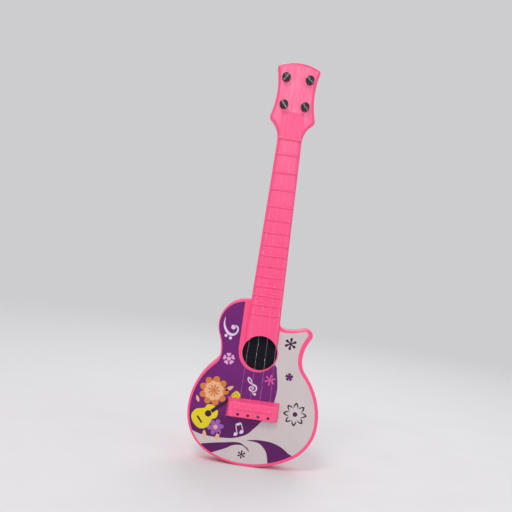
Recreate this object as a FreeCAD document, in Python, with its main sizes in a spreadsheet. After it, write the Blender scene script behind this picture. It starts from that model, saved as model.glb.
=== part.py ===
import FreeCAD, Part
import math
import os
from collections import namedtuple
from FreeCAD import Placement, Rotation, Vector

# A small toy guitar, standing upright as it is played.
# Frame: X to the right seen from the front, Y from front to back, Z up along the neck.
# Origin: on the flat back face, straight behind the centre of the sound hole.
# "depth" is the distance forward of the back face, so a point at depth d has Y = -d.

DIMENSIONS = [
    ("body_depth", 20.0, "back face to soundboard"),
    ("parting_depth", 15.0, "back face to the joint between the two shells"),
    ("neck_back_depth", 11.0, "back face of the body to the back of the neck"),
    ("fretboard_depth", 23.0, "back face to the top of the fretboard"),
    ("wall", 1.8, "wall of both shells"),
    ("neck_wall", 2.4, "wall around the hollow of the neck"),
    ("neck_back_wall", 1.6, "back wall of the hollow neck"),
    ("face_round", 0.8, "rounding of the soundboard edge"),
    ("back_round", 3.0, "rounding of the back edge"),
    ("head_round", 2.0, "rounding of the headstock's edges"),
    ("neck_round", 2.5, "rounding of the fretboard's long edges"),
    ("neck_foot", 7.0, "height of the fretboard's lower end"),
    ("neck_top", 151.6, "height where the fretboard ends under the nut"),
    ("foot_half_width", 11.6, "half width of the fretboard at its lower end"),
    ("top_half_width", 8.5, "half width of the fretboard at the nut"),
    ("head_start", 150.5, "height where the headstock begins"),
    ("throat_end", 170.0, "height where the sloping throat meets the headstock face"),
    ("throat_width", 15.6, "width of the sloping throat"),
    ("throat_drop", 0.3, "throat below the fretboard where it starts"),
    ("hole_radius", 12.2, "sound hole"),
    ("lip_radius", 12.75, "raised lip around the sound hole"),
    ("lip_height", 0.6, "height of that lip"),
    ("disc_radius", 15.5, "black disc behind the sound hole"),
    ("disc_thickness", 1.0, "thickness of that disc"),
    ("fret_radius", 0.8, "half-buried round fret"),
    ("fret_inset", 1.0, "the frets stop this far from the fretboard's edge"),
    ("nut_height", 1.4, "nut above the fretboard"),
    ("nut_inset", 0.6, "the nut stops this far from the fretboard's edge"),
    ("notch_floor", 0.95, "bottom of the nut's notches above the fretboard"),
    ("nut_thickness", 1.7, "nut along the neck"),
    ("notch_width", 0.7, "string notch in the nut"),
    ("label_thickness", 0.15, "printed face label"),
    ("label_inset", 2.0, "border left between label and edge"),
    ("hole_gap_radius", 13.75, "gap in the label for the sound hole"),
    ("label_shift", -1.0, "label stuck on slightly to the left"),
    ("label_turn", 0.8, "degrees that the label is turned to the left"),
    ("boss_radius", 3.3, "screw post"),
    ("pilot_radius", 1.17, "hole that the screw cuts into"),
    ("shank_radius", 1.15, "screw shank"),
    ("shank_hole_radius", 1.4, "screw clearance hole"),
    ("screw_head_radius", 2.1, "screw head"),
    ("screw_head_height", 1.5, "height of a screw head"),
    ("sink_radius", 2.45, "recess for a screw head"),
    ("body_sink", 8.5, "depth of the recesses in the back of the body"),
    ("body_screw_length", 10.0, "shank of a body screw"),
    ("neck_screw_length", 6.0, "shank of a neck screw"),
    ("bridge_screw_length", 5.0, "shank of a bridge screw"),
    ("peg_hole_radius", 2.05, "bearing hole of a tuning peg"),
    ("peg_shaft_radius", 2.0, "shaft of a tuning peg"),
    ("peg_gap", 0.1, "end play between peg and headstock"),
    ("key_flange_radius", 3.4, "flange at the root of the key"),
    ("key_flange", 1.0, "thickness of that flange"),
    ("key_reach", 7.4, "length of the flat grip behind the flange"),
    ("key_width", 9.6, "width of the flat grip"),
    ("key_thickness", 2.6, "thickness of the flat grip"),
    ("key_round", 0.9, "rounding of the grip's rims"),
    ("stem_width", 3.0, "width of the stem between grip and flange"),
    ("stem_thickness", 2.0, "thickness of that stem"),
    ("stem_length", 2.6, "length of that stem, into the grip"),
    ("stub_side", 2.2, "square end of the shaft"),
    ("stub_length", 2.2, "length of the square end"),
    ("stub_play", 0.02, "clearance around the square end, each side"),
    ("post_radius", 2.95, "flanges of the string post"),
    ("drum_radius", 2.2, "drum that the string winds on"),
    ("post_foot", 0.7, "thickness of the post's inner flange"),
    ("drum_length", 2.2, "width of the groove for the string"),
    ("cap_height", 1.5, "domed cap of the post"),
    ("slot_width", 1.1, "slot across the cap"),
    ("slot_cut", 1.0, "depth of that slot"),
    ("string_radius", 0.2, "nylon string"),
    ("winding_pitch", 0.46, "pitch of the wound string"),
    ("bridge_height", 5.0, "bridge above the soundboard"),
    ("bridge_round", 0.9, "rounding of the bridge's top edges"),
    ("bridge_corner", 2.0, "rounding of the bridge's upright corners"),
    ("notch_depth", 0.9, "depth of the notches in the bridge"),
    ("saddle_lift", 0.1, "centre of the saddle ridge above the bridge"),
    ("string_seat", 0.02, "clearance under a string where it bears"),
    ("saddle_radius", 0.75, "round ridge that carries the strings"),
    ("string_hole_radius", 1.0, "string hole through bridge and soundboard"),
    ("notch_half", 0.35, "half width of the notch from a string hole to the bridge's edge"),
    ("knot_radius", 1.35, "knot that holds a string under the soundboard"),
    ("seam_step", 0.15, "the back shell is this much smaller all round"),
    ("skirt", 0.5, "overlap given to parts that are fused"),
]

FRET_GAPS = [10.5, 12.7, 12.0, 12.0, 9.5, 8.8, 8.7, 7.4, 7.4, 7.4, 6.8, 6.6, 6.6, 6.6]
NUT_HEIGHT_ON_NECK = 150.0
NUT_STRINGS_X = [-5.6, -1.8, 1.8, 5.6]
BRIDGE_STRINGS_X = [-9.35, -2.25, 4.85, 11.95]

# Peg centres (x, z) in the order of the strings, the resting turn of each post's slot, and how
# many quarter turns further its key was pushed onto the square.
PEGS = [(-7.5, 174.5), (-8.3, 193.5), (8.3, 193.5), (7.5, 174.5)]
POST_TURNS = [-38.0, 34.0, -52.0, -44.0]
KEY_QUARTERS = [1, -1, 1, 0]

BODY_SCREWS = [(-34.0, -48.0), (34.0, -48.0), (0.0, -70.0), (-21.0, 20.0), (20.5, 5.0)]
NECK_SCREWS = [(0.0, 62.0), (0.0, 128.0)]
BRIDGE_SCREWS = [(-12.7, -38.0), (13.3, -38.0)]

NECK_GAP = (-15.0, 11.8, 45.0)  # left, right and top of the label's gap for the fretboard
HOLE_GAP_CENTRE = (-0.9, 0.0)
NECK_HOLLOW = (20.0, 146.0)
HEEL = [(4.0, 24.0), (4.0, 36.5), (6.5, 40.5), (11.0, 54.0)]  # (depth, z) down the neck's back
STRING_HOLES_Z = -43.8

BRIDGE_LEFT, BRIDGE_RIGHT = -17.4, 18.6
BRIDGE_LOW, BRIDGE_HIGH = -46.4, -33.2
DECK_DRAW_IN = (1.0, 0.5, 2.2)  # the bridge's ends, lower side and upper side lean in this much
SADDLE_LEFT, SADDLE_RIGHT, SADDLE_Z = -12.5, 14.9, -39.7

FRONTWARD = Rotation(Vector(1, 0, 0), 90)
SIDEWAYS = Rotation(Vector(0, 1, 0), 90)

doc = FreeCAD.newDocument("toy_guitar")


# ---------------------------------------------------------------- sheet and small helpers

def make_sheet():
    sheet = doc.addObject("Spreadsheet::Sheet", "sizes")
    for row, (alias, value, meaning) in enumerate(DIMENSIONS, start=1):
        sheet.set(f"A{row}", meaning)
        sheet.set(f"B{row}", str(value))
        sheet.setAlias(f"B{row}", alias)
    doc.recompute()
    return sheet


sheet = make_sheet()


def size(alias):
    return float(getattr(sheet, alias))


def bind(feature, **formulas):
    """Tie a feature's properties to cells of the sheet."""
    for prop, formula in formulas.items():
        feature.setExpression(prop, formula)


def new_body(name, compound=False):
    body = doc.addObject("PartDesign::Body", name)
    body.Label = name
    body.AllowCompound = compound
    return body


def sketch_on(body, name, role, offset=0.0, turn=0.0):
    """A sketch on one of the body's own origin planes, moved along and turned about its normal."""
    sketch = body.newObject("Sketcher::SketchObject", f"{body.Name}_{name}_sketch")
    plane = next(f for f in body.Origin.OriginFeatures if f.Role == role)
    sketch.AttachmentSupport = [(plane, "")]
    sketch.MapMode = "FlatFace"
    sketch.AttachmentOffset = Placement(Vector(0, 0, offset), Rotation(Vector(0, 0, 1), turn))
    return sketch


def add_polygon(sketch, points):
    corners = [Vector(a, b, 0) for a, b in points]
    for start, end in zip(corners, corners[1:] + corners[:1]):
        sketch.addGeometry(Part.LineSegment(start, end))


def pad(body, name, sketch, length, midplane=False):
    feature = body.newObject("PartDesign::Pad", f"{body.Name}_{name}")
    feature.Profile = sketch
    if midplane:
        feature.SideType = "Symmetric"
    bind(feature, Length=length)
    return feature


def pocket(body, name, sketch, length):
    """Cut from the sketch towards the back face."""
    feature = body.newObject("PartDesign::Pocket", f"{body.Name}_{name}")
    feature.Profile = sketch
    bind(feature, Length=length)
    return feature


def cylinder(body, kind, name, centre, depth, radius, length):
    """Add or cut a cylinder that starts at a depth and runs forward."""
    feature = body.newObject(f"PartDesign::{kind}Cylinder", f"{body.Name}_{name}")
    feature.Placement = Placement(Vector(centre[0], -depth, centre[1]), FRONTWARD)
    bind(feature, Radius=radius, Height=length)
    return feature


def box(body, kind, name, low, high):
    """Add or cut a box between two corners given as (x, depth, z)."""
    feature = body.newObject(f"PartDesign::{kind}Box", f"{body.Name}_{name}")
    feature.Placement = Placement(Vector(low[0], -high[1], low[2]), Rotation())
    feature.Length = high[0] - low[0]
    feature.Width = high[1] - low[1]
    feature.Height = high[2] - low[2]
    return feature


def fillet(body, name, radius, chosen):
    """Round the edges of the current tip that a test picks."""
    doc.recompute()
    base = body.Tip
    edges = [f"Edge{i}" for i, edge in enumerate(base.Shape.Edges, start=1) if chosen(edge)]
    feature = body.newObject("PartDesign::Fillet", f"{body.Name}_{name}")
    feature.Base = (base, edges)
    bind(feature, Radius=radius)
    return feature


def at_depth(edge, depth):
    bounds = edge.BoundBox
    return abs(bounds.YMin + depth) < 1e-3 and abs(bounds.YMax + depth) < 1e-3


# ---------------------------------------------------------------- outlines made of touching rounds

Round = namedtuple("Round", "x z r convex")


def roll(first, steps):
    """Rounds that each touch the one before: same side and tighter or wider, or opposite side."""
    rounds = [first]
    for x, z, turn in steps:
        last = rounds[-1]
        gap = math.hypot(x - last.x, z - last.z)
        radius = {"tighter": last.r - gap, "wider": last.r + gap, "opposite": gap - last.r}[turn]
        rounds.append(Round(x, z, radius, last.convex != (turn == "opposite")))
    return rounds


def touch(a, b):
    gap = math.hypot(b.x - a.x, b.z - a.z)
    reach = a.r / gap
    if a.convex == b.convex and a.r < b.r:
        reach = -reach
    return (a.x + reach * (b.x - a.x), a.z + reach * (b.z - a.z))


def grown(rounds, inset, shift):
    """The same rounds drawn further in, and moved sideways."""
    return [Round(q.x + shift, q.z, q.r - inset if q.convex else q.r + inset, q.convex)
            for q in rounds]


def arcs_between(rounds, start, end):
    """Arcs counter-clockwise round the object, from start to end."""
    marks = [start] + [touch(a, b) for a, b in zip(rounds, rounds[1:])] + [end]
    arcs = []
    for q, begin, finish in zip(rounds, marks, marks[1:]):
        angles = [math.atan2(p[1] - q.z, p[0] - q.x) for p in (begin, finish)]
        if not q.convex:
            angles.reverse()
        if angles[1] < angles[0]:
            angles[1] += 2 * math.pi
        circle = Part.Circle(Vector(q.x, q.z, 0), Vector(0, 0, 1), q.r)
        arcs.append(Part.ArcOfCircle(circle, *angles))
    return arcs


def body_outline(inset=0.0, shift=0.0):
    """Bottom bow, two hips, two waists, the round left shoulder and the pointed right horn."""
    bottom = Round(0.0, -17.4, 62.7, True)
    right = roll(bottom, [
        (16.5, -45.0, "tighter"),
        (-2.0, -44.3, "wider"),
        (46.5, -0.5, "opposite"),
        (56.5, -0.5, "wider"),
        (31.0, 16.4, "opposite"),
        (17.0, 54.0, "opposite"),
        (16.6, 24.4, "tighter"),
    ])
    left = roll(bottom, [
        (-12.0, -45.0, "tighter"),
        (0.5, -43.2, "wider"),
        (-36.6, -3.0, "opposite"),
        (-57.0, -3.0, "wider"),
        (-12.0, 17.0, "opposite"),
    ])
    rounds = grown(left[:0:-1] + right, inset, shift)
    shoulder, corner = rounds[0], rounds[-1]
    lean = 4.0
    start = (shoulder.x + lean, shoulder.z + math.sqrt(shoulder.r ** 2 - lean ** 2))
    end = (corner.x - corner.r, corner.z)
    arcs = arcs_between(rounds, start, end)
    return arcs + [Part.LineSegment(Vector(*end, 0), Vector(*start, 0))]


def head_outline(inset=0.0):
    """Flare above the nut, shoulders, waisted sides and crowned top, the same on both sides."""
    right = roll(Round(0.0, 173.0, 32.0, True), [
        (12.9, 199.8, "tighter"),
        (74.8, 184.0, "opposite"),
        (12.2, 165.4, "opposite"),
        (24.2, size("head_start"), "opposite"),
    ])
    right = grown(right, inset, 0.0)
    left = [Round(-q.x, q.z, q.r, q.convex) for q in right]
    flare = right[-1]
    start = (flare.x - flare.r, flare.z)
    end = (-start[0], start[1])
    arcs = arcs_between(right[::-1] + left[1:], start, end)
    return arcs + [Part.LineSegment(Vector(*end, 0), Vector(*start, 0))]


def neck_half_width(z):
    share = (z - size("neck_foot")) / (size("neck_top") - size("neck_foot"))
    return size("foot_half_width") + share * (size("top_half_width") - size("foot_half_width"))


def neck_points(low, high, inset=0.0):
    """Corners of the tapered neck between two heights."""
    bottom = neck_half_width(low) - inset
    top = neck_half_width(high) - inset
    return [(-bottom, low), (bottom, low), (top, high), (-top, high)]


def neck_section(sketch, half, parting, crown, radius):
    """Cross-section of a neck half: flat at the parting joint, rounded corners at its crown."""
    side = -1 if crown > parting else 1
    edge, bend = -crown, -crown - side * radius
    turn = radius * (1 - math.sqrt(0.5))
    corners = [(half, -parting), (half, bend), (half - radius, edge)]
    for mirror in (1, -1):
        joint, low, high = [Vector(mirror * x, y, 0) for x, y in corners]
        middle = Vector(mirror * (half - turn), edge - side * turn, 0)
        sketch.addGeometry(Part.LineSegment(joint, low))
        sketch.addGeometry(Part.Arc(low, middle, high))
    for x, y in (corners[0], corners[2]):
        sketch.addGeometry(Part.LineSegment(Vector(-x, y, 0), Vector(x, y, 0)))


def neck_loft(body, low, crown, radius, inset=0.0):
    """Tapered neck between the parting joint and its crown, from a height up to the nut."""
    sections = []
    for name, height in (("neck_low", low), ("neck_high", size("neck_top"))):
        section = sketch_on(body, name, "XY_Plane", height)
        half = neck_half_width(height) - inset
        neck_section(section, half, size("parting_depth"), size(crown), size(radius))
        sections.append(section)
    loft = body.newObject("PartDesign::AdditiveLoft", f"{body.Name}_neck")
    loft.Profile = sections[0]
    loft.Sections = [sections[1]]


# ---------------------------------------------------------------- the two shells

def drill_pegs(body):
    for number, centre in enumerate(PEGS, start=1):
        cylinder(body, "Subtractive", f"peg_hole_{number}", centre, size("neck_back_depth") - 1,
                 "sizes.peg_hole_radius", "sizes.body_depth")


def front_shell():
    body = new_body("front_shell", compound=True)
    parting = size("parting_depth")
    face = size("body_depth")

    slab = sketch_on(body, "soundboard", "XZ_Plane", parting)
    slab.addGeometry(body_outline())
    pad(body, "soundboard", slab, "sizes.body_depth - sizes.parting_depth")
    head = sketch_on(body, "headstock", "XZ_Plane", parting)
    head.addGeometry(head_outline())
    pad(body, "headstock", head, "sizes.body_depth - sizes.parting_depth")
    fillet(body, "head_edge", "sizes.head_round",
           lambda edge: at_depth(edge, face) and edge.BoundBox.ZMin > 140)
    fillet(body, "face_edge", "sizes.face_round",
           lambda edge: at_depth(edge, face) and edge.BoundBox.ZMax < 60)

    neck_loft(body, size("neck_foot"), "fretboard_depth", "neck_round")
    add_throat(body)
    cylinder(body, "Additive", "lip", (0, 0), face - 1, "sizes.lip_radius", "sizes.lip_height + 1")
    cylinder(body, "Subtractive", "sound_hole", (0, 0), parting, "sizes.hole_radius",
             "sizes.body_depth")

    add_frets(body)
    add_nut(body)
    hollow_front(body)
    drill_pegs(body)
    return body


def add_throat(body):
    """Wedge that runs from the fretboard's end down to the headstock's face."""
    root, ramp = size("skirt") - size("body_depth"), size("throat_drop") - size("fretboard_depth")
    top, end = size("neck_top"), size("throat_end")
    throat = sketch_on(body, "throat", "YZ_Plane")
    add_polygon(throat, [
        (root, top - size("skirt")),
        (ramp, top - size("skirt")),
        (ramp, top),
        (-size("body_depth"), end),
        (root, end),
    ])
    pad(body, "throat", throat, "sizes.throat_width", midplane=True)


def add_frets(body):
    height = NUT_HEIGHT_ON_NECK
    for number, gap in enumerate(FRET_GAPS, start=1):
        height -= gap
        half = neck_half_width(height) - size("fret_inset")
        fret = body.newObject("PartDesign::AdditiveCylinder", f"fret_{number}")
        fret.Placement = Placement(Vector(-half, -size("fretboard_depth"), height), SIDEWAYS)
        fret.Height = 2 * half
        bind(fret, Radius="sizes.fret_radius")


def add_nut(body):
    board, rise = size("fretboard_depth"), size("nut_height")
    low, high = NUT_HEIGHT_ON_NECK, NUT_HEIGHT_ON_NECK + size("nut_thickness")
    half = size("top_half_width") - size("nut_inset")
    root, floor = board - 3 * size("skirt"), board + size("notch_floor")
    box(body, "Additive", "nut", (-half, root, low), (half, board + rise, high))
    fillet(body, "nut_edge", "sizes.nut_thickness / 4",
           lambda edge: at_depth(edge, board + rise) and edge.BoundBox.XLength > 10)
    for number, x in enumerate(NUT_STRINGS_X, start=1):
        reach = size("notch_width") / 2
        box(body, "Subtractive", f"nut_notch_{number}", (x - reach, floor, low - 1),
            (x + reach, board + rise + 1, high + 1))


def hollow_front(body):
    """Hollow of body and neck, screw posts and the holes for the bridge screws."""
    parting, face, wall = size("parting_depth"), size("body_depth"), size("wall")
    hollow = sketch_on(body, "hollow", "XZ_Plane", face - wall)
    hollow.addGeometry(body_outline(inset=wall))
    pocket(body, "hollow", hollow, "sizes.body_depth - sizes.wall - sizes.parting_depth")
    channel = sketch_on(body, "neck_hollow", "XZ_Plane", size("fretboard_depth") - size("neck_wall"))
    add_polygon(channel, neck_points(*NECK_HOLLOW, inset=size("neck_wall")))
    pocket(body, "neck_hollow", channel,
           "sizes.fretboard_depth - sizes.neck_wall - sizes.parting_depth")
    for number, centre in enumerate(BODY_SCREWS, start=1):
        cylinder(body, "Additive", f"boss_{number}", centre, parting, "sizes.boss_radius",
                 "sizes.body_depth - sizes.parting_depth - sizes.wall / 2")
        cylinder(body, "Subtractive", f"pilot_{number}", centre, parting - 1, "sizes.pilot_radius",
                 "sizes.body_sink + sizes.body_screw_length - sizes.parting_depth + 1.1")
    for number, centre in enumerate(NECK_SCREWS, start=1):
        cylinder(body, "Additive", f"neck_boss_{number}", centre, parting, "sizes.boss_radius",
                 "sizes.fretboard_depth - sizes.parting_depth - 1")
        cylinder(body, "Subtractive", f"neck_pilot_{number}", centre, parting - 1,
                 "sizes.pilot_radius", "sizes.neck_screw_length - 1.2")
    for number, centre in enumerate(BRIDGE_SCREWS, start=1):
        cylinder(body, "Subtractive", f"bridge_hole_{number}", centre, parting,
                 "sizes.shank_hole_radius", "sizes.body_depth")
    drill_strings(body, parting)


def drill_strings(body, depth):
    """The four string holes, forward from a depth."""
    for number, x in enumerate(BRIDGE_STRINGS_X, start=1):
        cylinder(body, "Subtractive", f"string_hole_{number}", (x, STRING_HOLES_Z), depth,
                 "sizes.string_hole_radius", "sizes.body_depth")


def back_shell():
    body = new_body("back_shell", compound=True)
    parting = size("parting_depth")
    neck_back = size("neck_back_depth")

    step = size("seam_step")
    slab = sketch_on(body, "back", "XZ_Plane")
    slab.addGeometry(body_outline(inset=step))
    pad(body, "back", slab, "sizes.parting_depth")
    head = sketch_on(body, "head_back", "XZ_Plane", neck_back)
    head.addGeometry(head_outline(inset=step))
    pad(body, "head_back", head, "sizes.parting_depth - sizes.neck_back_depth")
    fillet(body, "head_edge", "sizes.head_round",
           lambda edge: at_depth(edge, neck_back) and edge.BoundBox.ZMin > 140)
    fillet(body, "back_edge", "sizes.back_round",
           lambda edge: at_depth(edge, 0) and edge.BoundBox.ZMax < 60)

    neck_loft(body, NECK_HOLLOW[0], "neck_back_depth", "back_round", inset=step)
    heel = sketch_on(body, "heel", "YZ_Plane")
    root = -neck_back - size("skirt")
    add_polygon(heel, [(root, HEEL[0][1])] + [(-depth, z) for depth, z in HEEL] + [(root, HEEL[-1][1])])
    pad(body, "heel", heel, "sizes.throat_width", midplane=True)

    hollow = sketch_on(body, "hollow", "XZ_Plane", parting)
    hollow.addGeometry(body_outline(inset=size("wall")))
    pocket(body, "hollow", hollow, "sizes.parting_depth - sizes.wall")
    channel = sketch_on(body, "neck_hollow", "XZ_Plane", parting)
    add_polygon(channel, neck_points(*NECK_HOLLOW, inset=size("neck_wall")))
    pocket(body, "neck_hollow", channel,
           "sizes.parting_depth - sizes.neck_back_depth - sizes.neck_back_wall")

    for number, centre in enumerate(BODY_SCREWS, start=1):
        cylinder(body, "Additive", f"post_{number}", centre, size("wall") / 2, "sizes.boss_radius",
                 "sizes.parting_depth - sizes.wall / 2")
        cylinder(body, "Subtractive", f"sink_{number}", centre, -1, "sizes.sink_radius",
                 "sizes.body_sink + 1")
        cylinder(body, "Subtractive", f"shank_hole_{number}", centre, 0, "sizes.shank_hole_radius",
                 "sizes.parting_depth + 1")
    for number, centre in enumerate(NECK_SCREWS, start=1):
        cylinder(body, "Additive", f"neck_post_{number}", centre, neck_back + size("skirt"),
                 "sizes.boss_radius", "sizes.parting_depth - sizes.neck_back_depth - sizes.skirt")
        cylinder(body, "Subtractive", f"neck_sink_{number}", centre, neck_back - 1, "sizes.sink_radius",
                 "sizes.neck_back_wall + 1")
        cylinder(body, "Subtractive", f"neck_shank_hole_{number}", centre, neck_back - 1,
                 "sizes.shank_hole_radius", "sizes.parting_depth")
    drill_pegs(body)
    return body


# ---------------------------------------------------------------- face label, disc, bridge

def face_label():
    body = new_body("face_label")
    face = size("body_depth")
    sheet_top = face + 1
    outline = sketch_on(body, "sheet", "XZ_Plane", face, size("label_turn"))
    outline.addGeometry(body_outline(size("label_inset"), size("label_shift")))
    pad(body, "sheet", outline, "sizes.label_thickness")
    left, right, top = NECK_GAP
    box(body, "Subtractive", "neck_gap", (left, face - 1, 0.0), (right, sheet_top, top))
    cylinder(body, "Subtractive", "hole_gap", HOLE_GAP_CENTRE, face - 1, "sizes.hole_gap_radius",
             "sizes.label_thickness + 2")
    play = size("label_thickness")
    box(body, "Subtractive", "bridge_gap", (BRIDGE_LEFT - play, face - 1, BRIDGE_LOW - play),
        (BRIDGE_RIGHT + play, sheet_top, BRIDGE_HIGH + play))
    return body


def soundhole_disc():
    disc = doc.addObject("Part::Cylinder", "soundhole_disc")
    disc.Label = "soundhole_disc"
    back = size("body_depth") - size("wall") - size("disc_thickness")
    bind(disc, Radius="sizes.disc_radius", Height="sizes.disc_thickness")
    disc.Placement = Placement(Vector(0, -back, 0), FRONTWARD)
    return disc


def add_rectangle(sketch, left, right, low, high):
    add_polygon(sketch, [(left, low), (right, low), (right, high), (left, high)])


def bridge():
    """Block with drawn-in sides, a round saddle ridge, and four string holes with notches."""
    body = new_body("bridge")
    face, rise = size("body_depth"), size("bridge_height")
    top = face + rise
    foot = sketch_on(body, "foot", "XZ_Plane", face)
    add_rectangle(foot, BRIDGE_LEFT, BRIDGE_RIGHT, BRIDGE_LOW, BRIDGE_HIGH)
    deck = sketch_on(body, "deck", "XZ_Plane", top)
    side, foot_slope, back_slope = DECK_DRAW_IN
    add_rectangle(deck, BRIDGE_LEFT + side, BRIDGE_RIGHT - side, BRIDGE_LOW + foot_slope,
                  BRIDGE_HIGH - back_slope)
    block = body.newObject("PartDesign::AdditiveLoft", "bridge_block")
    block.Profile = foot
    block.Sections = [deck]
    fillet(body, "corners", "sizes.bridge_corner", lambda edge: edge.BoundBox.YLength > rise / 2)
    fillet(body, "deck_edge", "sizes.bridge_round", lambda edge: at_depth(edge, top))

    saddle = body.newObject("PartDesign::AdditiveCylinder", "bridge_saddle")
    saddle_depth = top + size("saddle_lift")
    saddle.Placement = Placement(Vector(SADDLE_LEFT, -saddle_depth, SADDLE_Z), SIDEWAYS)
    saddle.Height = SADDLE_RIGHT - SADDLE_LEFT
    bind(saddle, Radius="sizes.saddle_radius")
    half, floor = size("notch_half"), top - size("notch_depth")
    for number, x in enumerate(BRIDGE_STRINGS_X, start=1):
        box(body, "Subtractive", f"notch_{number}", (x - half, floor, BRIDGE_LOW - 1),
            (x + half, top + 1, STRING_HOLES_Z))
    drill_strings(body, face - 1)
    for number, centre in enumerate(BRIDGE_SCREWS, start=1):
        cylinder(body, "Subtractive", f"pilot_{number}", centre, face - 1, "sizes.pilot_radius",
                 "sizes.bridge_screw_length - sizes.wall + 1.2")
    return body


# ---------------------------------------------------------------- screws

def screw_shape(length):
    """Pan-head screw with a cross recess; its head's bearing face is at the origin, shank along +Z."""
    head_radius, head_height = size("screw_head_radius"), size("screw_head_height")
    head = Part.makeCylinder(head_radius, head_height, Vector(0, 0, -head_height))
    rim = [edge for edge in head.Edges if abs(edge.BoundBox.ZMax + head_height) < 1e-6]
    head = head.makeFillet(head_height * 0.45, rim)
    tip_length = 1.2
    shank = Part.makeCylinder(size("shank_radius"), length - tip_length)
    tip = Part.makeCone(size("shank_radius"), 0.35, tip_length, Vector(0, 0, length - tip_length))
    screw = head.fuse([shank, tip])
    recess_width, recess_length, recess_depth = 0.6, 2.5, 0.8
    for turn in (0, 90):
        bar = Part.makeBox(recess_length, recess_width, recess_depth,
                           Vector(-recess_length / 2, -recess_width / 2, -head_height))
        bar.rotate(Vector(0, 0, 0), Vector(0, 0, 1), turn)
        screw = screw.cut(bar)
    return screw.removeSplitter()


def screw_group(name, centres, seat_depth, length):
    """Screws driven forward, with their heads seated at one depth."""
    screws = []
    for number, (x, z) in enumerate(centres):
        screw = screw_shape(length)
        screw.rotate(Vector(0, 0, 0), Vector(0, 0, 1), 25 * number)
        screw.Placement = Placement(Vector(x, -seat_depth, z), FRONTWARD).multiply(screw.Placement)
        screws.append(screw)
    group = doc.addObject("Part::Feature", name)
    group.Label = name
    group.Shape = Part.makeCompound(screws)
    group.Placement = Placement()
    return group


# ---------------------------------------------------------------- tuning pegs

def peg_placement(number, turn):
    x, z = PEGS[number]
    return Placement(Vector(x, 0, z), Rotation(Vector(0, 1, 0), turn))


def tuning_key(number):
    """Flat oval grip behind the headstock, stem, flange, bearing shaft and square end."""
    body = new_body(f"tuning_key_{number + 1}")
    seat = size("neck_back_depth") - size("peg_gap")
    flange_back = seat - size("key_flange")
    shaft_end = size("body_depth") + size("peg_gap")
    half_width, half_reach = size("key_width") / 2, size("key_reach") / 2
    grip = sketch_on(body, "grip", "XY_Plane")
    middle = Vector(0, half_reach - flange_back, 0)
    side, end = Vector(half_width, 0, 0), Vector(0, half_reach - size("skirt"), 0)
    grip.addGeometry(Part.Ellipse(middle + side, middle + end, middle))
    pad(body, "grip", grip, "sizes.key_thickness", midplane=True)
    fillet(body, "grip_edge", "sizes.key_round", lambda edge: edge.BoundBox.ZLength < 1e-3)
    wide, thick = size("stem_width") / 2, size("stem_thickness") / 2
    box(body, "Additive", "stem", (-wide, flange_back - size("stem_length"), -thick),
        (wide, flange_back + size("skirt"), thick))
    cylinder(body, "Additive", "flange", (0, 0), flange_back, "sizes.key_flange_radius",
             "sizes.key_flange")
    cylinder(body, "Additive", "shaft", (0, 0), seat - size("skirt"), "sizes.peg_shaft_radius",
             "sizes.body_depth - sizes.neck_back_depth + 2 * sizes.peg_gap + sizes.skirt")
    half = size("stub_side") / 2
    box(body, "Additive", "square_end", (-half, shaft_end - size("skirt"), -half),
        (half, shaft_end + size("stub_length"), half))
    body.Placement = peg_placement(number, POST_TURNS[number] + 90 * KEY_QUARTERS[number])
    return body


def string_post(number):
    """Turned post with a groove for the string, a domed slotted cap and a square socket."""
    body = new_body(f"string_post_{number + 1}")
    start = size("body_depth") + size("peg_gap")
    drum_start = start + size("post_foot")
    cap_start = drum_start + size("drum_length")
    top = cap_start + size("cap_height")
    wide, narrow, rim = size("post_radius"), size("drum_radius"), 0.6
    profile = sketch_on(body, "profile", "XY_Plane")
    corners = [(0, start), (wide, start), (wide, drum_start), (narrow, drum_start), (narrow, cap_start),
               (wide, cap_start), (wide, cap_start + rim)]
    points = [Vector(x, -depth, 0) for x, depth in corners]
    for a, b in zip(points, points[1:]):
        profile.addGeometry(Part.LineSegment(a, b))
    crown = Vector(0, -top, 0)
    bulge = Vector(wide * 0.72, -(cap_start + rim + (top - cap_start - rim) * 0.66), 0)
    profile.addGeometry(Part.Arc(points[-1], bulge, crown))
    profile.addGeometry(Part.LineSegment(crown, points[0]))
    turned = body.newObject("PartDesign::Revolution", f"{body.Name}_turned")
    turned.Profile = profile
    turned.ReferenceAxis = (profile, ["V_Axis"])
    turned.Angle = 360
    half = size("stub_side") / 2 + size("stub_play")
    socket_end = start + size("stub_length") + 0.1
    box(body, "Subtractive", "socket", (-half, start - 1, -half), (half, socket_end, half))
    slot = size("slot_width") / 2
    box(body, "Subtractive", "slot", (-slot, top - size("slot_cut"), -wide - 1),
        (slot, top + 1, wide + 1))
    body.Placement = peg_placement(number, POST_TURNS[number])
    return body


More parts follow.
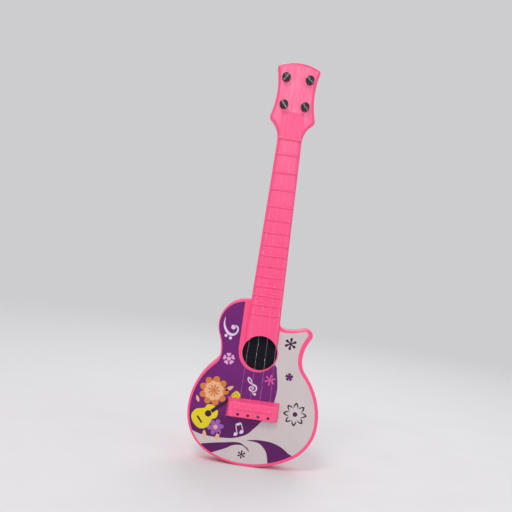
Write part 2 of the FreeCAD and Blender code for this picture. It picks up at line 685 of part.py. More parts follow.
def string_winding(number):
    """Two turns of string that the peg has already wound on."""
    name = f"string_winding_{number + 1}"
    lift = size("string_radius") + size("string_seat")
    radius = size("drum_radius") + lift
    start = size("body_depth") + size("peg_gap") + size("post_foot") + lift
    spiral = doc.addObject("Part::Helix", f"{name}_line")
    bind(spiral, Pitch="sizes.winding_pitch", Height="2 * sizes.winding_pitch",
         Radius="sizes.drum_radius + sizes.string_radius + sizes.string_seat")
    spiral.SegmentLength = 0.25
    spiral.LocalCoord = "Right-handed" if PEGS[number][0] < 0 else "Left-handed"
    section = doc.addObject("Part::Circle", f"{name}_section")
    bind(section, Radius="sizes.string_radius")
    section.Placement = Placement(Vector(radius, 0, 0), Rotation(Vector(1, 0, 0), 90))
    winding = doc.addObject("Part::Sweep", name)
    winding.Label = name
    winding.Sections = [section]
    doc.recompute()
    winding.Spine = (spiral, [f"Edge{i + 1}" for i in range(len(spiral.Shape.Edges))])
    winding.Solid = True
    winding.Frenet = True
    x, z = PEGS[number]
    side = Rotation(Vector(0, 0, 1), 0 if x < 0 else 180)
    winding.Placement = Placement(Vector(x, -start, z), FRONTWARD.multiply(side))
    return winding


# ---------------------------------------------------------------- strings

def rounded_route(points, radii):
    """Straight runs joined by tangent arcs; one radius for each inner point."""
    edges = []
    cursor = points[0]
    for before, corner, after, radius in zip(points, points[1:], points[2:], radii):
        incoming = (corner - before).normalize()
        outgoing = (after - corner).normalize()
        turn = incoming.getAngle(outgoing)
        reach = radius * math.tan(turn / 2)
        arc_start = corner - incoming * reach
        arc_end = corner + outgoing * reach
        inward = (outgoing - incoming).normalize()
        bulge = corner + inward * (radius / math.cos(turn / 2) - radius)
        edges.append(Part.LineSegment(cursor, arc_start).toShape())
        edges.append(Part.Arc(arc_start, bulge, arc_end).toShape())
        cursor = arc_end
    edges.append(Part.LineSegment(cursor, points[-1]).toShape())
    return edges


def string_end_on_post(number, nut):
    """Where the string, seen from the front, runs tangent onto the inner side of its post."""
    centre = Vector(PEGS[number][0], 0, PEGS[number][1])
    wrap = size("drum_radius") + size("string_radius") + 0.05
    side = 1 if centre.x < 0 else -1
    line = centre - Vector(nut.x, 0, nut.z)
    lean = math.asin(wrap / line.Length)
    heading = Rotation(Vector(0, 1, 0), math.degrees(side * lean)).multVec(line).normalize()
    contact = centre + Vector(side * heading.z, 0, -side * heading.x) * wrap
    return contact, heading, centre, side


def string(number):
    """Knot under the soundboard, over saddle and nut, then three quarters round the post."""
    face, rise = size("body_depth"), size("bridge_height")
    deck = face + rise
    x = BRIDGE_STRINGS_X[number]
    lift = size("string_radius") + size("string_seat")
    saddle_top = deck + size("saddle_lift") + size("saddle_radius") + lift
    nut_floor = size("fretboard_depth") + size("notch_floor") + size("string_seat")
    nut = Vector(NUT_STRINGS_X[number], -(nut_floor + lift),
                 NUT_HEIGHT_ON_NECK + size("nut_thickness") / 2)
    contact, heading, centre, side = string_end_on_post(number, nut)
    drum_front = face + size("peg_gap") + size("post_foot") + size("drum_length")
    level = drum_front - size("string_radius") - 0.1
    contact.y = -level
    centre.y = -level
    lead_in = contact - heading * 2.5
    inner_face = face - size("wall")
    knot = Vector(x, -(inner_face - size("knot_radius") - size("string_seat")), STRING_HOLES_Z)
    mouth = Vector(x, -(deck + 2.2 * size("string_radius")), STRING_HOLES_Z)
    saddle = Vector(x, -saddle_top, SADDLE_Z)
    edges = rounded_route([knot, mouth, saddle, nut, lead_in, contact], [0.8, 4.0, 8.0, 8.0])
    spoke = contact - centre
    half_way, ending = [centre + Rotation(Vector(0, 1, 0), -side * turn).multVec(spoke)
                        for turn in (135, 270)]
    edges.append(Part.Arc(contact, half_way, ending).toShape())
    path = Part.Wire(edges)
    start_direction = (mouth - knot).normalize()
    section = Part.Wire(Part.Circle(knot, start_direction, size("string_radius")).toShape())
    tube = path.makePipeShell([section], True, True)
    ball = Part.makeSphere(size("knot_radius"), knot)
    feature = doc.addObject("Part::Feature", f"string_{number + 1}")
    feature.Label = feature.Name
    feature.Shape = tube.fuse(ball)
    feature.Placement = Placement()
    print(f"{feature.Name}: length {path.Length:.1f} mm, volume {tube.Volume:.2f} mm3, "
          f"section times length {math.pi * size('string_radius') ** 2 * path.Length:.2f} mm3")
    return feature


# ---------------------------------------------------------------- build, check and write

def build():
    seat_neck = size("neck_back_depth") + size("neck_back_wall")
    seat_bridge = size("body_depth") - size("wall")
    nodes = [
        front_shell(),
        back_shell(),
        face_label(),
        soundhole_disc(),
        bridge(),
        screw_group("body_screws", BODY_SCREWS, size("body_sink"), size("body_screw_length")),
        screw_group("neck_screws", NECK_SCREWS, seat_neck, size("neck_screw_length")),
        screw_group("bridge_screws", BRIDGE_SCREWS, seat_bridge, size("bridge_screw_length")),
    ]
    for number in range(len(PEGS)):
        nodes += [tuning_key(number), string_post(number), string_winding(number), string(number)]
    doc.recompute()
    return nodes


def check(nodes):
    for item in doc.Objects:
        if "Invalid" in item.State or "Error" in item.State:
            raise RuntimeError(f"{item.Name} failed: {item.State}")
    for node in nodes:
        if node.Shape.isNull() or not node.Shape.isValid() or not node.Shape.Solids:
            raise RuntimeError(f"{node.Label} has no valid solid")
        print(f"{node.Label}: {len(node.Shape.Solids)} solid(s), {node.Shape.Volume:.1f} mm3")


def write(nodes):
    os.makedirs("parts", exist_ok=True)
    for node in nodes:
        node.Shape.exportStep(os.path.join("parts", node.Label + ".step"))


parts = build()
check(parts)
write(parts)
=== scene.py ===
"""Looks of a small moulded toy guitar: plastics, printed face sheet, light, floor and camera.

Metres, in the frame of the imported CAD: +X is on the right seen from the front, +Z runs up the neck,
the face looks along -Y, and the origin is where the sound hole's axis meets the back face. Print is
drawn in millimetres on the face, as (x, z).
"""
import math

import bmesh
import bpy
from mathutils import Matrix, Quaternion, Vector
from mathutils.geometry import tessellate_polygon


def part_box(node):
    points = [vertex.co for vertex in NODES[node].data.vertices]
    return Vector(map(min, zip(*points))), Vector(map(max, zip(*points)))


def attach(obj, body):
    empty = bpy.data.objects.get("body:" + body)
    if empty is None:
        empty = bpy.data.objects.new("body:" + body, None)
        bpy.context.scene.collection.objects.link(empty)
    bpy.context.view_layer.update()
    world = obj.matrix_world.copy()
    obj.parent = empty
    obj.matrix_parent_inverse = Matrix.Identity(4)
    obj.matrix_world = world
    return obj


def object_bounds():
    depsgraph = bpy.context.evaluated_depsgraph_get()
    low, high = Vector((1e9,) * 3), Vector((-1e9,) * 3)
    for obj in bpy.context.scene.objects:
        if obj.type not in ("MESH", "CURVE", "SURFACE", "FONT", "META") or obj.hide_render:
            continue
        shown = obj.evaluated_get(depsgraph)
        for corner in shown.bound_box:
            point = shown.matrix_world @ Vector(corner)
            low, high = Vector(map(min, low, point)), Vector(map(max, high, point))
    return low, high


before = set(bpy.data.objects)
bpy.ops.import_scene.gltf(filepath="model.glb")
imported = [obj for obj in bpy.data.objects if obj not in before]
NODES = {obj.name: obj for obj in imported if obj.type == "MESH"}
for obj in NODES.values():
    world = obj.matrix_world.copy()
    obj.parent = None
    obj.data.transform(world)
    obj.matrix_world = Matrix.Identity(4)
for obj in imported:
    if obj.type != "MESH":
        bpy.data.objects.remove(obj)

MM = 0.001
CAD_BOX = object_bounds()
FACE_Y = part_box("face_label")[0].y  # the printed sheet's front
INK_STEP = 0.04 * MM                # one layer of ink stands this far in front of the last
BELOW_BRIDGE = (-50 * MM, -43 * MM)  # heights between which the purple turns darker towards the bottom
ROSETTES_PER_METRE = 2600.0         # dots of the printing screen
TRIM_DEPTHS = (-0.019, -0.022)      # two depths that enclose the face sheet, behind it and before it


# ---------------------------------------------------------------- node materials

def srgb(red, green, blue):
    """A colour given as 0..255 screen values, as linear RGBA."""
    def linear(value):
        share = value / 255
        return share / 12.92 if share <= 0.04045 else ((share + 0.055) / 1.055) ** 2.4
    return (linear(red), linear(green), linear(blue), 1.0)


class Finish:
    """A material on one Principled shader, with the few nodes that these finishes share."""

    def __init__(self, name, **constants):
        self.material = bpy.data.materials.new(name)
        self.material.use_nodes = True
        self.tree = self.material.node_tree
        self.shader = self.tree.nodes["Principled BSDF"]
        for socket, value in constants.items():
            self.shader.inputs[socket.replace("_", " ")].default_value = value
        self.places = self.node("TexCoord").outputs["Object"]

    def node(self, kind, inputs=(), **settings):
        made = self.tree.nodes.new("ShaderNode" + kind)
        for key, value in settings.items():
            setattr(made, key, value)
        for socket, value in dict(inputs).items():
            self.feed(made.inputs[socket], value)
        return made

    def feed(self, socket, value):
        if isinstance(value, bpy.types.NodeSocket):
            self.tree.links.new(value, socket)
        else:
            socket.default_value = value

    def noise(self, size, detail=2.0, stretch=(1, 1, 1), roughness=0.5):
        """Noise between 0 and 1 whose blotches are about size metres across."""
        scaled = self.node("Mapping", {"Vector": self.places, "Scale": stretch})
        made = self.node("TexNoise", {
            "Vector": scaled.outputs["Vector"],
            "Scale": 1 / size,
            "Detail": detail,
            "Roughness": roughness,
        })
        return made.outputs["Fac"]

    def ramp(self, value, low, high, start, end):
        """value, between low and high, carried to start..end and held there outside."""
        made = self.node("MapRange", {
            "Value": value, "From Min": low, "From Max": high, "To Min": start, "To Max": end,
        })
        return made.outputs["Result"]

    def maths(self, operation, first, second):
        made = self.node("Math", {0: first, 1: second}, operation=operation)
        return made.outputs["Value"]

    def mix(self, share, first, second):
        """Colour first at share 0, second at share 1."""
        made = self.node("Mix", data_type="RGBA")
        colour = [s for s in made.inputs if s.type == "RGBA"]
        self.feed(made.inputs["Factor"], share)
        self.feed(colour[0], first)
        self.feed(colour[1], second)
        return next(s for s in made.outputs if s.type == "RGBA")

    def edges(self, radius, width):
        """1 along edges sharper than radius, 0 on open surface."""
        rounded = self.node("Bevel", {"Radius": radius}, samples=4).outputs["Normal"]
        flat = self.node("NewGeometry").outputs["Normal"]
        same = self.node("VectorMath", {0: rounded, 1: flat}, operation="DOT_PRODUCT")
        return self.ramp(same.outputs["Value"], 1 - width, 0.995, 1.0, 0.0)

    def bump(self, *layers):
        """Bump from (height, distance in metres, strength) layers, one over the other."""
        normal = None
        for height, distance, strength in layers:
            made = self.node("Bump", {
                "Height": height, "Distance": distance, "Strength": strength,
            })
            if normal:
                self.feed(made.inputs["Normal"], normal)
            normal = made.outputs["Normal"]
        self.feed(self.shader.inputs["Normal"], normal)

    def set(self, socket, value):
        self.feed(self.shader.inputs[socket], value)


def moulded_pink():
    """Glossy pink moulded plastic: flow marks, pigment grain, fine rubs, paler worn edges."""
    made = Finish("pink_plastic", Subsurface_Weight=0.12, Subsurface_Scale=0.0016, IOR=1.5)
    made.shader.inputs["Subsurface Radius"].default_value = (1.0, 0.35, 0.4)
    flow = made.noise(0.045, 3, (1, 1, 0.35))
    grain = made.noise(0.0004, 1)
    rubs = made.noise(0.0022, 4, (1, 1, 0.12), 0.7)
    body = made.mix(flow, srgb(254, 86, 142), srgb(248, 68, 126))
    body = made.mix(made.ramp(grain, 0.35, 0.75, 0.0, 0.10), body, srgb(255, 118, 162))
    worn = made.maths("MULTIPLY", made.edges(0.0005, 0.35), made.ramp(rubs, 0.3, 0.7, 0.05, 0.3))
    made.set("Base Color", made.mix(worn, body, srgb(255, 140, 178)))
    gloss = made.ramp(rubs, 0.35, 0.7, 0.22, 0.38)
    made.set("Roughness", made.maths("ADD", gloss, made.ramp(worn, 0, 1, 0, 0.15)))
    made.bump((flow, 0.0004, 0.12), (rubs, 0.00003, 0.25), (grain, 0.00001, 0.3))
    return made.material


def printed(name, colour, deeper, dots=0.10, foot=None):
    """Print on a plastic film: ink rosettes, uneven density, a satin varnish. The colour turns to
    foot, where there is one, below the bridge: darker towards the bottom."""
    made = Finish(name, IOR=1.36)
    # darker towards the bottom: below the bridge's height the colour turns to foot
    if foot:
        height = made.node("SeparateXYZ", {0: made.places}).outputs["Z"]
        colour = made.mix(made.ramp(height, *BELOW_BRIDGE, 1.0, 0.0), colour, foot)
    cloud = made.noise(0.012, 3)
    screen = made.node("TexVoronoi", {"Vector": made.places, "Scale": ROSETTES_PER_METRE})
    rosette = screen.outputs["Distance"]
    share = made.ramp(rosette, 0.15, 0.6, 0.0, dots)
    density = made.maths("ADD", share, made.ramp(cloud, 0.3, 0.7, 0.0, 0.35))
    made.set("Base Color", made.mix(density, colour, deeper))
    scuffs = made.noise(0.003, 4, (1, 1, 0.2), 0.65)
    made.set("Roughness", made.ramp(scuffs, 0.3, 0.7, 0.34, 0.5))
    made.bump((cloud, 0.0002, 0.1), (rosette, 0.000006, 0.3))
    return made.material


def black_card():
    """Matt black card, with its fibres."""
    made = Finish("black_card", IOR=1.25)
    fibres = made.noise(0.0007, 5, (1, 1, 0.3), 0.7)
    made.set("Base Color", made.mix(fibres, srgb(10, 10, 20), srgb(22, 22, 36)))
    made.set("Roughness", made.ramp(fibres, 0.3, 0.7, 0.7, 0.9))
    made.bump((fibres, 0.00008, 0.5))
    return made.material


def black_plastic():
    """Black moulded plastic of the pegs, rubbed paler on its edges."""
    made = Finish("black_plastic", IOR=1.5)
    flow = made.noise(0.004, 3)
    rubs = made.noise(0.0008, 4, (1, 1, 0.3), 0.7)
    worn = made.maths("MULTIPLY", made.edges(0.0003, 0.3), made.ramp(rubs, 0.4, 0.65, 0.1, 0.6))
    body = made.mix(flow, srgb(24, 22, 26), srgb(38, 35, 40))
    made.set("Base Color", made.mix(worn, body, srgb(95, 90, 96)))
    made.set("Roughness", made.ramp(rubs, 0.35, 0.7, 0.1, 0.28))
    made.bump((flow, 0.0001, 0.15), (rubs, 0.00001, 0.3))
    return made.material


def nylon():
    """Clear extruded nylon line, faintly drawn along its length."""
    made = Finish("nylon", IOR=1.53, Transmission_Weight=0.85, Alpha=0.34)
    drawn = made.noise(0.0006, 2, (1, 1, 0.05))
    made.set("Base Color", made.mix(drawn, srgb(255, 236, 242), srgb(240, 205, 218)))
    made.set("Roughness", made.ramp(drawn, 0.3, 0.7, 0.18, 0.32))
    made.bump((drawn, 0.00001, 0.3))
    return made.material


def zinc():
    """Bright zinc plate with turning marks and dull spots."""
    made = Finish("screw_steel", Metallic=1.0)
    turned = made.noise(0.0005, 3, (1, 6, 1))
    spots = made.noise(0.0015, 4)
    made.set("Base Color", made.mix(spots, srgb(205, 207, 212), srgb(150, 152, 158)))
    made.set("Roughness", made.ramp(turned, 0.3, 0.7, 0.25, 0.5))
    made.bump((turned, 0.00002, 0.4))
    return made.material


def dress(names, finish):
    """Gives CAD nodes their finish, through their objects' slots."""
    for name in names:
        node = NODES[name]
        if not node.material_slots:
            node.data.materials.append(None)
        for slot in node.material_slots:
            slot.link = "OBJECT"
            slot.material = finish


# ---------------------------------------------------------------- outlines, in mm on the face

def smooth_loop(points, per=8):
    """A closed smooth line through the points."""
    count = len(points)
    corners = [Vector(p) for p in points]
    line = []
    for i in range(count):
        a, b, c, d = (corners[(i + k) % count] for k in (-1, 0, 1, 2))
        line += [between(a, b, c, d, step / per) for step in range(per)]
    return line


def smooth_run(points, per=8):
    """An open smooth line through the points."""
    corners = [Vector(p) for p in points]
    corners = [2 * corners[0] - corners[1]] + corners + [2 * corners[-1] - corners[-2]]
    line = []
    for i in range(1, len(corners) - 2):
        a, b, c, d = corners[i - 1:i + 3]
        line += [between(a, b, c, d, step / per) for step in range(per)]
    return line + [corners[-2]]


def between(a, b, c, d, t):
    """The Catmull-Rom point at share t from b to c."""
    return 0.5 * (2 * b + (c - a) * t + (2 * a - 5 * b + 4 * c - d) * t * t
                  + (3 * b - a - 3 * c + d) * t ** 3)


def polar(centre, reach, degrees):
    angle = math.radians(degrees)
    return Vector(centre) + reach * Vector((math.cos(angle), math.sin(angle)))


def disc(centre, radius, sides=32):
    return [polar(centre, radius, 360 * i / sides) for i in range(sides)]


def flower(centre, tip, waist, petals, turn=0.0, round_tips=0.6):
    """A flower's outline: petals of reach tip, cut in to waist between them."""
    steps = petals * 14
    line = []
    for i in range(steps):
        degrees = 360 * i / steps
        wave = abs(math.cos(math.radians(petals * (degrees - turn) / 2))) ** round_tips
        line.append(polar(centre, waist + (tip - waist) * wave, degrees))
    return line


def clubs(centre, reach, arms, root, tip, turn):
    """An asterisk whose arms grow from the half width root to the half width tip."""
    half_step = 180 / arms
    middle = (root + tip) / 2.2
    valley = polar((0, 0), root / math.sin(math.radians(half_step)), half_step)
    arm = [(reach * 0.5, -middle), (reach * 0.82, -tip), (reach, -tip * 0.45),
           (reach, tip * 0.45), (reach * 0.82, tip), (reach * 0.5, middle), valley]
    return smooth_loop([p for i in range(arms)
                        for p in turned(arm, centre, turn + 2 * half_step * i)], 4)


def loose_petals(centre, inner, outer, petals, turn):
    """Separate petals round an open ring, each with a slightly hollow end."""
    wide = 135 / petals
    petal = [(inner, -0.7 * wide), (inner, 0.7 * wide), (outer * 0.75, wide),
             (outer * 0.98, wide * 0.85), (outer * 0.95, 0), (outer * 0.98, -wide * 0.85),
             (outer * 0.75, -wide)]
    return [smooth_loop([polar(centre, r, turn + 360 * i / petals + a) for r, a in petal], 4)
            for i in range(petals)]


def outlined_petals(centre, tip, foot, half_width, line, petals, turn):
    """Petals drawn as pen lines, thick at the tip and fading towards the middle."""
    outer = [(foot, -half_width), (foot + (tip - foot) * 0.55, -half_width), (tip, 0),
             (foot + (tip - foot) * 0.55, half_width), (foot, half_width)]
    inner = [(foot, half_width), (foot + (tip - foot) * 0.5, half_width - line * 0.7),
             (tip - line, 0), (foot + (tip - foot) * 0.5, line * 0.7 - half_width),
             (foot, -half_width)]
    drawn = smooth_run(outer) + smooth_run(inner)[1:-1]
    return [turned(drawn, centre, turn + 360 * i / petals) for i in range(petals)]


def brush(points, widths, per=8):
    """The outline of a brush stroke through the points, as wide at each as widths says."""
    line = smooth_run(points, per)
    wide = smooth_run([(w, 0) for w in widths], per)
    left, right = [], []
    for i, place in enumerate(line):
        along = line[min(i + 1, len(line) - 1)] - line[max(i - 1, 0)]
        across = Vector((-along.y, along.x)).normalized() * wide[i].x / 2
        left.append(place + across)
        right.append(place - across)
    return left + right[::-1]


def turned(outline, centre, degrees):
    """The outline, drawn about (0, 0), leant over by degrees and carried to centre."""
    turn = Matrix.Rotation(math.radians(degrees), 2)
    return [Vector(centre) + turn @ Vector(p) for p in outline]


# ---------------------------------------------------------------- ink on the face sheet

def slab(name, shapes, back, front):
    """A mesh of flat shapes, each a list of loops in mm (the first is the outside, the rest are
    holes), between the depths back and front."""
    bm = bmesh.new()
    for loops in shapes:
        rings = []
        for loop in loops:
            rings.append([[bm.verts.new((p[0] * MM, y, p[1] * MM)) for p in loop]
                          for y in (back, front)])
        flat = [[Vector((p[0], p[1], 0)) for p in loop] for loop in loops]
        for side in (0, 1):
            corners = [v for ring in rings for v in ring[side]]
            for three in tessellate_polygon(flat):
                bm.faces.new([corners[k] for k in three])
        for behind, ahead in rings:
            for i in range(len(behind)):
                bm.faces.new((behind[i - 1], behind[i], ahead[i], ahead[i - 1]))
    bmesh.ops.recalc_face_normals(bm, faces=bm.faces)
    mesh = bpy.data.meshes.new(name)
    bm.to_mesh(mesh)
    bm.free()
    made = bpy.data.objects.new(name, mesh)
    bpy.context.scene.collection.objects.link(made)
    return made


def ink(name, shapes, finish, layer=2):
    """Printed shapes, on the layer-th coat of ink."""
    front = FACE_Y - layer * INK_STEP
    made = slab(name, shapes, front + INK_STEP, front)
    return put(made, finish)


def put(made, finish):
    made.data.materials.clear()
    made.data.materials.append(finish)
    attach(made, "guitar")
    return made


# the purple ground, in mm: three fields with white between them
PURPLE_FIELDS = (
    [(11.9, -7), (13.9, -12.5), (15, -18), (15.7, -24), (14.7, -33), (11.7, -41), (6.5, -49.1),
     (3.2, -53.1), (0.3, -56.5), (-2.8, -58.7), (-9.2, -61.2), (-15.8, -62.2), (-28, -62.3),
     (-36, -61), (-43, -58), (-60, -50), (-60, 40), (-14.5, 45), (-13.8, 12), (0, 0)],
    [(-37, -72), (-34, -69), (-22.7, -66.4), (-15.4, -65.2), (-8.8, -64.1), (-4.7, -64.2),
     (-1.8, -65.6), (0.7, -67.2), (2.0, -69.1), (1.7, -69.3), (0.2, -67.9), (-1.7, -66.4),
     (-4.1, -65.6), (-7.4, -65.9), (-10.6, -66.9), (-14.8, -69.4), (-25.5, -74.5), (-33, -80)],
    [(-0.1, -61.8), (3.2, -61.0), (8.7, -60.5), (16.4, -60.9), (23.6, -63.2), (29.1, -66.8),
     (33, -70), (28, -80), (18, -82), (15.9, -75), (14.5, -69.5), (12.3, -66), (9.1, -63.3),
     (5.6, -62.2)],
)


def purple_ground(finish):
    """The purple fields, trimmed to the face sheet's own outline."""
    big = 1 / MM
    sheet = NODES["face_label"].data.copy()
    sheet.transform(Matrix.Scale(big, 4))
    bm = bmesh.new()
    bm.from_mesh(sheet)
    bmesh.ops.remove_doubles(bm, verts=bm.verts, dist=0.001)
    bm.to_mesh(sheet)
    bm.free()
    made = bpy.data.objects.new("print_purple", sheet)
    bpy.context.scene.collection.objects.link(made)
    fields = slab("purple_fields", [[smooth_loop(f)] for f in PURPLE_FIELDS], *TRIM_DEPTHS)
    fields.data.transform(Matrix.Scale(big, 4))
    cut = made.modifiers.new("trim", "BOOLEAN")
    cut.operation, cut.solver, cut.object = "INTERSECT", "EXACT", fields
    bpy.context.view_layer.update()
    ready = made.evaluated_get(bpy.context.evaluated_depsgraph_get())
    made.data = bpy.data.meshes.new_from_object(ready)
    made.modifiers.clear()
    bpy.data.objects.remove(fields)
    back = max(v.co.y for v in made.data.vertices)
    deep = back - min(v.co.y for v in made.data.vertices)
    for v in made.data.vertices:
        share = (back - v.co.y) / deep
        v.co = (v.co.x * MM, FACE_Y - share * INK_STEP, v.co.z * MM)
    made.data.update()
    return put(made, finish)


def ukulele(centre, lean):
    """A small ukulele drawing: body, head, and its darker neck, hole, bridge and tuners."""
    body = smooth_loop([(0, -9.8), (5.5, -8.2), (7.4, -3.4), (5.3, 1.2), (4.7, 2.6), (5.5, 5.5),
                        (2.9, 8.6), (0, 9.1), (-2.9, 8.6), (-5.5, 5.5), (-4.7, 2.6), (-5.3, 1.2),
                        (-7.4, -3.4), (-5.5, -8.2)])
    head = smooth_loop([(-1.6, 22.4), (1.6, 22.4), (2.5, 27.2), (0, 28.4), (-2.5, 27.2)], 4)
    dark = [[(-1.3, 5.0), (1.3, 5.0), (1.1, 22.6), (-1.1, 22.6)], disc((0, 2.4), 2.3),
            [(-2.9, -5.5), (2.9, -5.5), (2.9, -4.3), (-2.9, -4.3)]]
    pegs = [disc((x, z), 0.42, 12) for x in (-1.0, 1.0) for z in (24.2, 26.2)]
    return ([turned(part, centre, lean) for part in (body, head)],
            [turned(part, centre, lean) for part in dark + pegs])


def leaf(centre, length, lean):
    half = length / 2
    shape = smooth_loop([(0, -half), (0.42 * half, 0), (0, half), (-0.42 * half, 0)])
    return turned(shape, centre, lean)


def scroll():
    """The curl at the waist, with its dots."""
    curl = brush([(-27.1, 21.6), (-27.3, 17.4), (-26.4, 14.4), (-24.4, 11.5), (-22.4, 10.2),
                  (-20.2, 10.1), (-18.4, 11.2), (-17.3, 13.2), (-17.5, 15.2), (-18.6, 16.3),
                  (-20.2, 16.4)],
                 [0.3, 1.0, 1.5, 1.8, 1.9, 1.6, 1.25, 1.05, 1.1, 1.1, 1.0])
    return [curl, disc((-20.6, 15.4), 1.6), disc((-25.0, 8.9), 1.05), disc((-21.7, 7.6), 1.1)]


def clef():
    """A treble clef: its loops, its stem and its ball."""
    loops = brush([(-2.2, -22.2), (-2.7, -20.5), (-3.8, -19.0), (-5.1, -18.1), (-5.5, -19.2),
                   (-4.8, -20.7), (-3.1, -21.9), (-1.0, -22.7), (0.6, -23.5), (1.2, -24.9),
                   (0.9, -26.4), (-0.5, -27.4), (-2.3, -27.1), (-3.6, -26.0), (-3.4, -24.6),
                   (-2.1, -23.9), (-0.9, -24.5), (-0.8, -25.6), (-1.5, -26.2)],
                  [0.5, 0.6, 0.7, 0.9, 0.8, 0.8, 1.0, 1.1, 1.1, 1.0, 0.9, 0.8, 0.8, 0.9, 0.8,
                   0.6, 0.5, 0.4, 0.3])
    stem = brush([(-2.3, -21.9), (-1.7, -25.0), (-1.2, -28.0), (-0.2, -29.6)],
                 [0.5, 0.5, 0.5, 0.6])
    return [loops, stem, disc((0.5, -29.1), 0.95)]


def beamed_notes():
    """Two quavers under one beam."""
    head = smooth_loop([(1.8, 0), (0, 1.25), (-1.8, 0), (0, -1.25)])
    heads = [turned(head, centre, 46) for centre in ((-8.8, -58.4), (-4.9, -56.4))]
    tails = [brush([(-8.0, -57.6), (-9.6, -52.0)], [0.6, 0.6]),
             brush([(-4.0, -55.6), (-6.1, -50.2)], [0.6, 0.6])]
    beam = [(-10.1, -51.6), (-6.5, -49.8), (-6.0, -51.4), (-9.4, -53.1)]
    return [*heads, *tails, beam]


def stars_and_flowers(rose, cerise, purple, dark):
    """The small motifs on the purple and on the white."""
    rose_centre, small_centre, bloom = (-20.8, -6.9), (22.8, -13.9), (30.4, -39.2)
    petals = loose_petals(rose_centre, 2.0, 4.2, 5, 26)
    ink("print_rose_flower", [[shape] for shape in petals + [disc(rose_centre, 1.4)]], rose)
    ink("print_cerise_star", [[clubs((9.8, -17.9), 3.9, 6, 0.42, 0.62, 21)]], cerise)
    ink("print_dark_marks", [[shape] for shape in [
        clubs((20.6, 9.2), 4.2, 6, 0.42, 0.95, 26),
        clubs((-2.9, -72.1), 2.8, 6, 0.3, 0.62, 28),
        *outlined_petals(bloom, 8.3, 4.0, 1.55, 1.3, 8, 90),
        disc(bloom, 1.65),
        *loose_petals(small_centre, 1.2, 2.8, 5, 18),
    ]], dark, 1)
    ink("print_purple_hearts", [[disc(small_centre, 1.6)], [disc(bloom, 0.7)]], purple, 2)


def garden(orange, peach, yellow, lilac, dark):
    """The drawing at the lower left: a daisy, a ukulele, a lilac flower and leaves."""
    daisy, aster = (-28, -30.5), (-23.5, -55.5)
    ink("print_daisy_petals", [[flower(daisy, 10.4, 6.4, 9, 4, 0.55)]], orange)
    ink("print_daisy_face", [[flower(daisy, 6.9, 5.8, 9, 24)]], peach, 3)
    ink("print_daisy_heart", [[clubs(daisy, 4.2, 9, 0.4, 0.6, 4)]], orange, 4)
    pale, drawn = ukulele((-31.6, -48.4), -49)
    ink("print_ukulele", [[shape] for shape in pale], yellow, 4)
    ink("print_ukulele_marks", [[shape] for shape in drawn], dark, 5)
    ink("print_lilac_flower", [[flower(aster, 5.8, 2.4, 6, 12)]], lilac)
    ink("print_lilac_heart", [[disc(aster, 1.5)]], peach, 3)
    ink("print_leaves", [[leaf(centre, length, lean)] for centre, length, lean in (
        ((-17.5, -27.5), 6.4, -55), ((-38.5, -37.5), 5.0, 25),
        ((-30.5, -61.8), 6.5, 10), ((-21.3, -61.8), 6.5, -10),
    )], peach)


def print_face():
    """All the ink on the face sheet."""
    white = printed("ink_white", srgb(226, 206, 226), srgb(206, 182, 208))
    rose = printed("ink_rose", srgb(226, 160, 206), srgb(208, 140, 190))
    cerise = printed("ink_cerise", srgb(216, 84, 158), srgb(196, 66, 140))
    # the purple turns darker towards the bottom, below the bridge
    purple = printed("ink_purple", srgb(114, 20, 114), srgb(86, 12, 92), foot=srgb(86, 12, 86))
    dark = printed("ink_dark", srgb(58, 10, 58), srgb(42, 4, 44))
    lilac = printed("ink_lilac", srgb(160, 96, 176), srgb(136, 74, 156))
    orange = printed("ink_orange", srgb(212, 128, 58), srgb(186, 98, 40))
    peach = printed("ink_peach", srgb(232, 180, 142), srgb(216, 154, 116))
    yellow = printed("ink_yellow", srgb(226, 206, 24), srgb(206, 176, 16))
    purple_ground(purple)
    marks = scroll() + clef() + beamed_notes()
    ink("print_white_marks", [[shape] for shape in marks], white)
    stars_and_flowers(rose, cerise, purple, dark)
    garden(orange, peach, yellow, lilac, dark)


# ---------------------------------------------------------------- floor, light and camera

AIM = Vector((-12, -20, 66.8)) * MM  # the camera looks square at this point of the face
FLOOR_SOLID, FLOOR_GONE = 0.30, 1.3  # metres from the object: the floor fades out between them


def lay_floor():
    """A round pale floor that fades into the background."""
    bm = bmesh.new()
    bmesh.ops.create_circle(bm, cap_ends=True, segments=96, radius=FLOOR_GONE)
    mesh = bpy.data.meshes.new("floor")
    bm.to_mesh(mesh)
    bm.free()
    floor = bpy.data.objects.new("floor", mesh)
    floor.location = (0, 0, CAD_BOX[0].z)
    bpy.context.scene.collection.objects.link(floor)
    made = Finish("pale_floor")
    mottle = made.noise(0.05, 4)
    made.set("Base Color", made.mix(mottle, srgb(232, 231, 232), srgb(226, 225, 226)))
    made.set("Roughness", made.ramp(mottle, 0.3, 0.7, 0.6, 0.75))
    reach = made.node("VectorMath", {0: made.places}, operation="LENGTH").outputs["Value"]
    made.set("Alpha", made.ramp(reach, FLOOR_SOLID, FLOOR_GONE, 1.0, 0.0))
    mesh.materials.append(made.material)


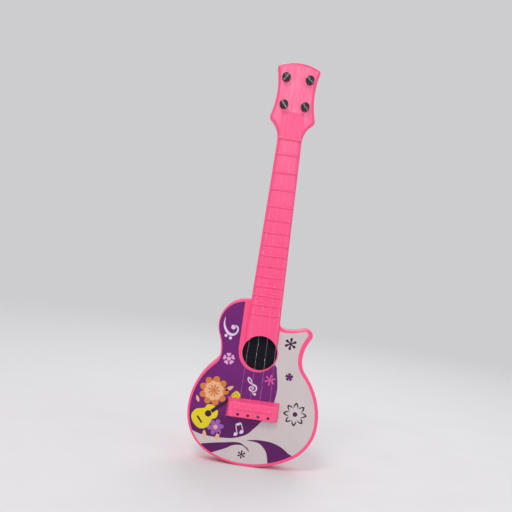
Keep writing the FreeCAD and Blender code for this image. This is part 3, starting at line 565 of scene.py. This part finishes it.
def softbox(name, place, size, power, colour=(1, 1, 1)):
    """A square soft light at place, facing the object."""
    light = bpy.data.lights.new(name, "AREA")
    light.size, light.energy, light.color = size, power, colour
    lamp = bpy.data.objects.new(name, light)
    lamp.location = place
    lamp.rotation_mode = "QUATERNION"
    lamp.rotation_quaternion = (AIM - Vector(place)).to_track_quat("-Z", "Y")
    bpy.context.scene.collection.objects.link(lamp)


def light_scene():
    world = bpy.data.worlds.new("studio")
    world.use_nodes = True
    shade = world.node_tree.nodes["Background"]
    shade.inputs["Color"].default_value = srgb(240, 240, 243)
    shade.inputs["Strength"].default_value = 0.7
    bpy.context.scene.world = world
    softbox("key", (-0.5, -1.3, 1.6), 0.6, 12.5)
    softbox("glare", (-0.05, -1.2, 0.44), 0.25, 1.8)
    softbox("fill", (0.8, -0.7, 0.2), 0.8, 1.2)
    softbox("back", (0.2, 0.9, 0.8), 0.8, 3)
    bpy.context.scene.view_settings.view_transform = "Standard"


def place_camera():
    """Square to the face, as high as the middle of the neck, rolled so that the neck leans right."""
    lean = math.radians(8)
    lens, distance = 60, 0.597
    camera = bpy.data.objects.new("camera", bpy.data.cameras.new("camera"))
    camera.data.lens = lens
    camera.data.clip_start, camera.data.clip_end = 0.01, 20
    camera.location = AIM - Vector((0, distance, 0))
    camera.rotation_mode = "QUATERNION"
    level = Vector((0, 1, 0)).to_track_quat("-Z", "Y")
    camera.rotation_quaternion = level @ Quaternion((0, 0, 1), lean)
    bpy.context.scene.collection.objects.link(camera)
    bpy.context.scene.camera = camera


four = range(1, 5)
dress(["front_shell", "back_shell", "bridge"], moulded_pink())
dress(["face_label"], printed("film_white", srgb(204, 193, 193), srgb(192, 180, 180), 0.08))
dress(["soundhole_disc"], black_card())
dress([f"{part}_{i}" for part in ("tuning_key", "string_post") for i in four], black_plastic())
dress([f"{part}_{i}" for part in ("string", "string_winding") for i in four], nylon())
dress(["body_screws", "neck_screws", "bridge_screws"], zinc())
print_face()
lay_floor()
light_scene()
place_camera()
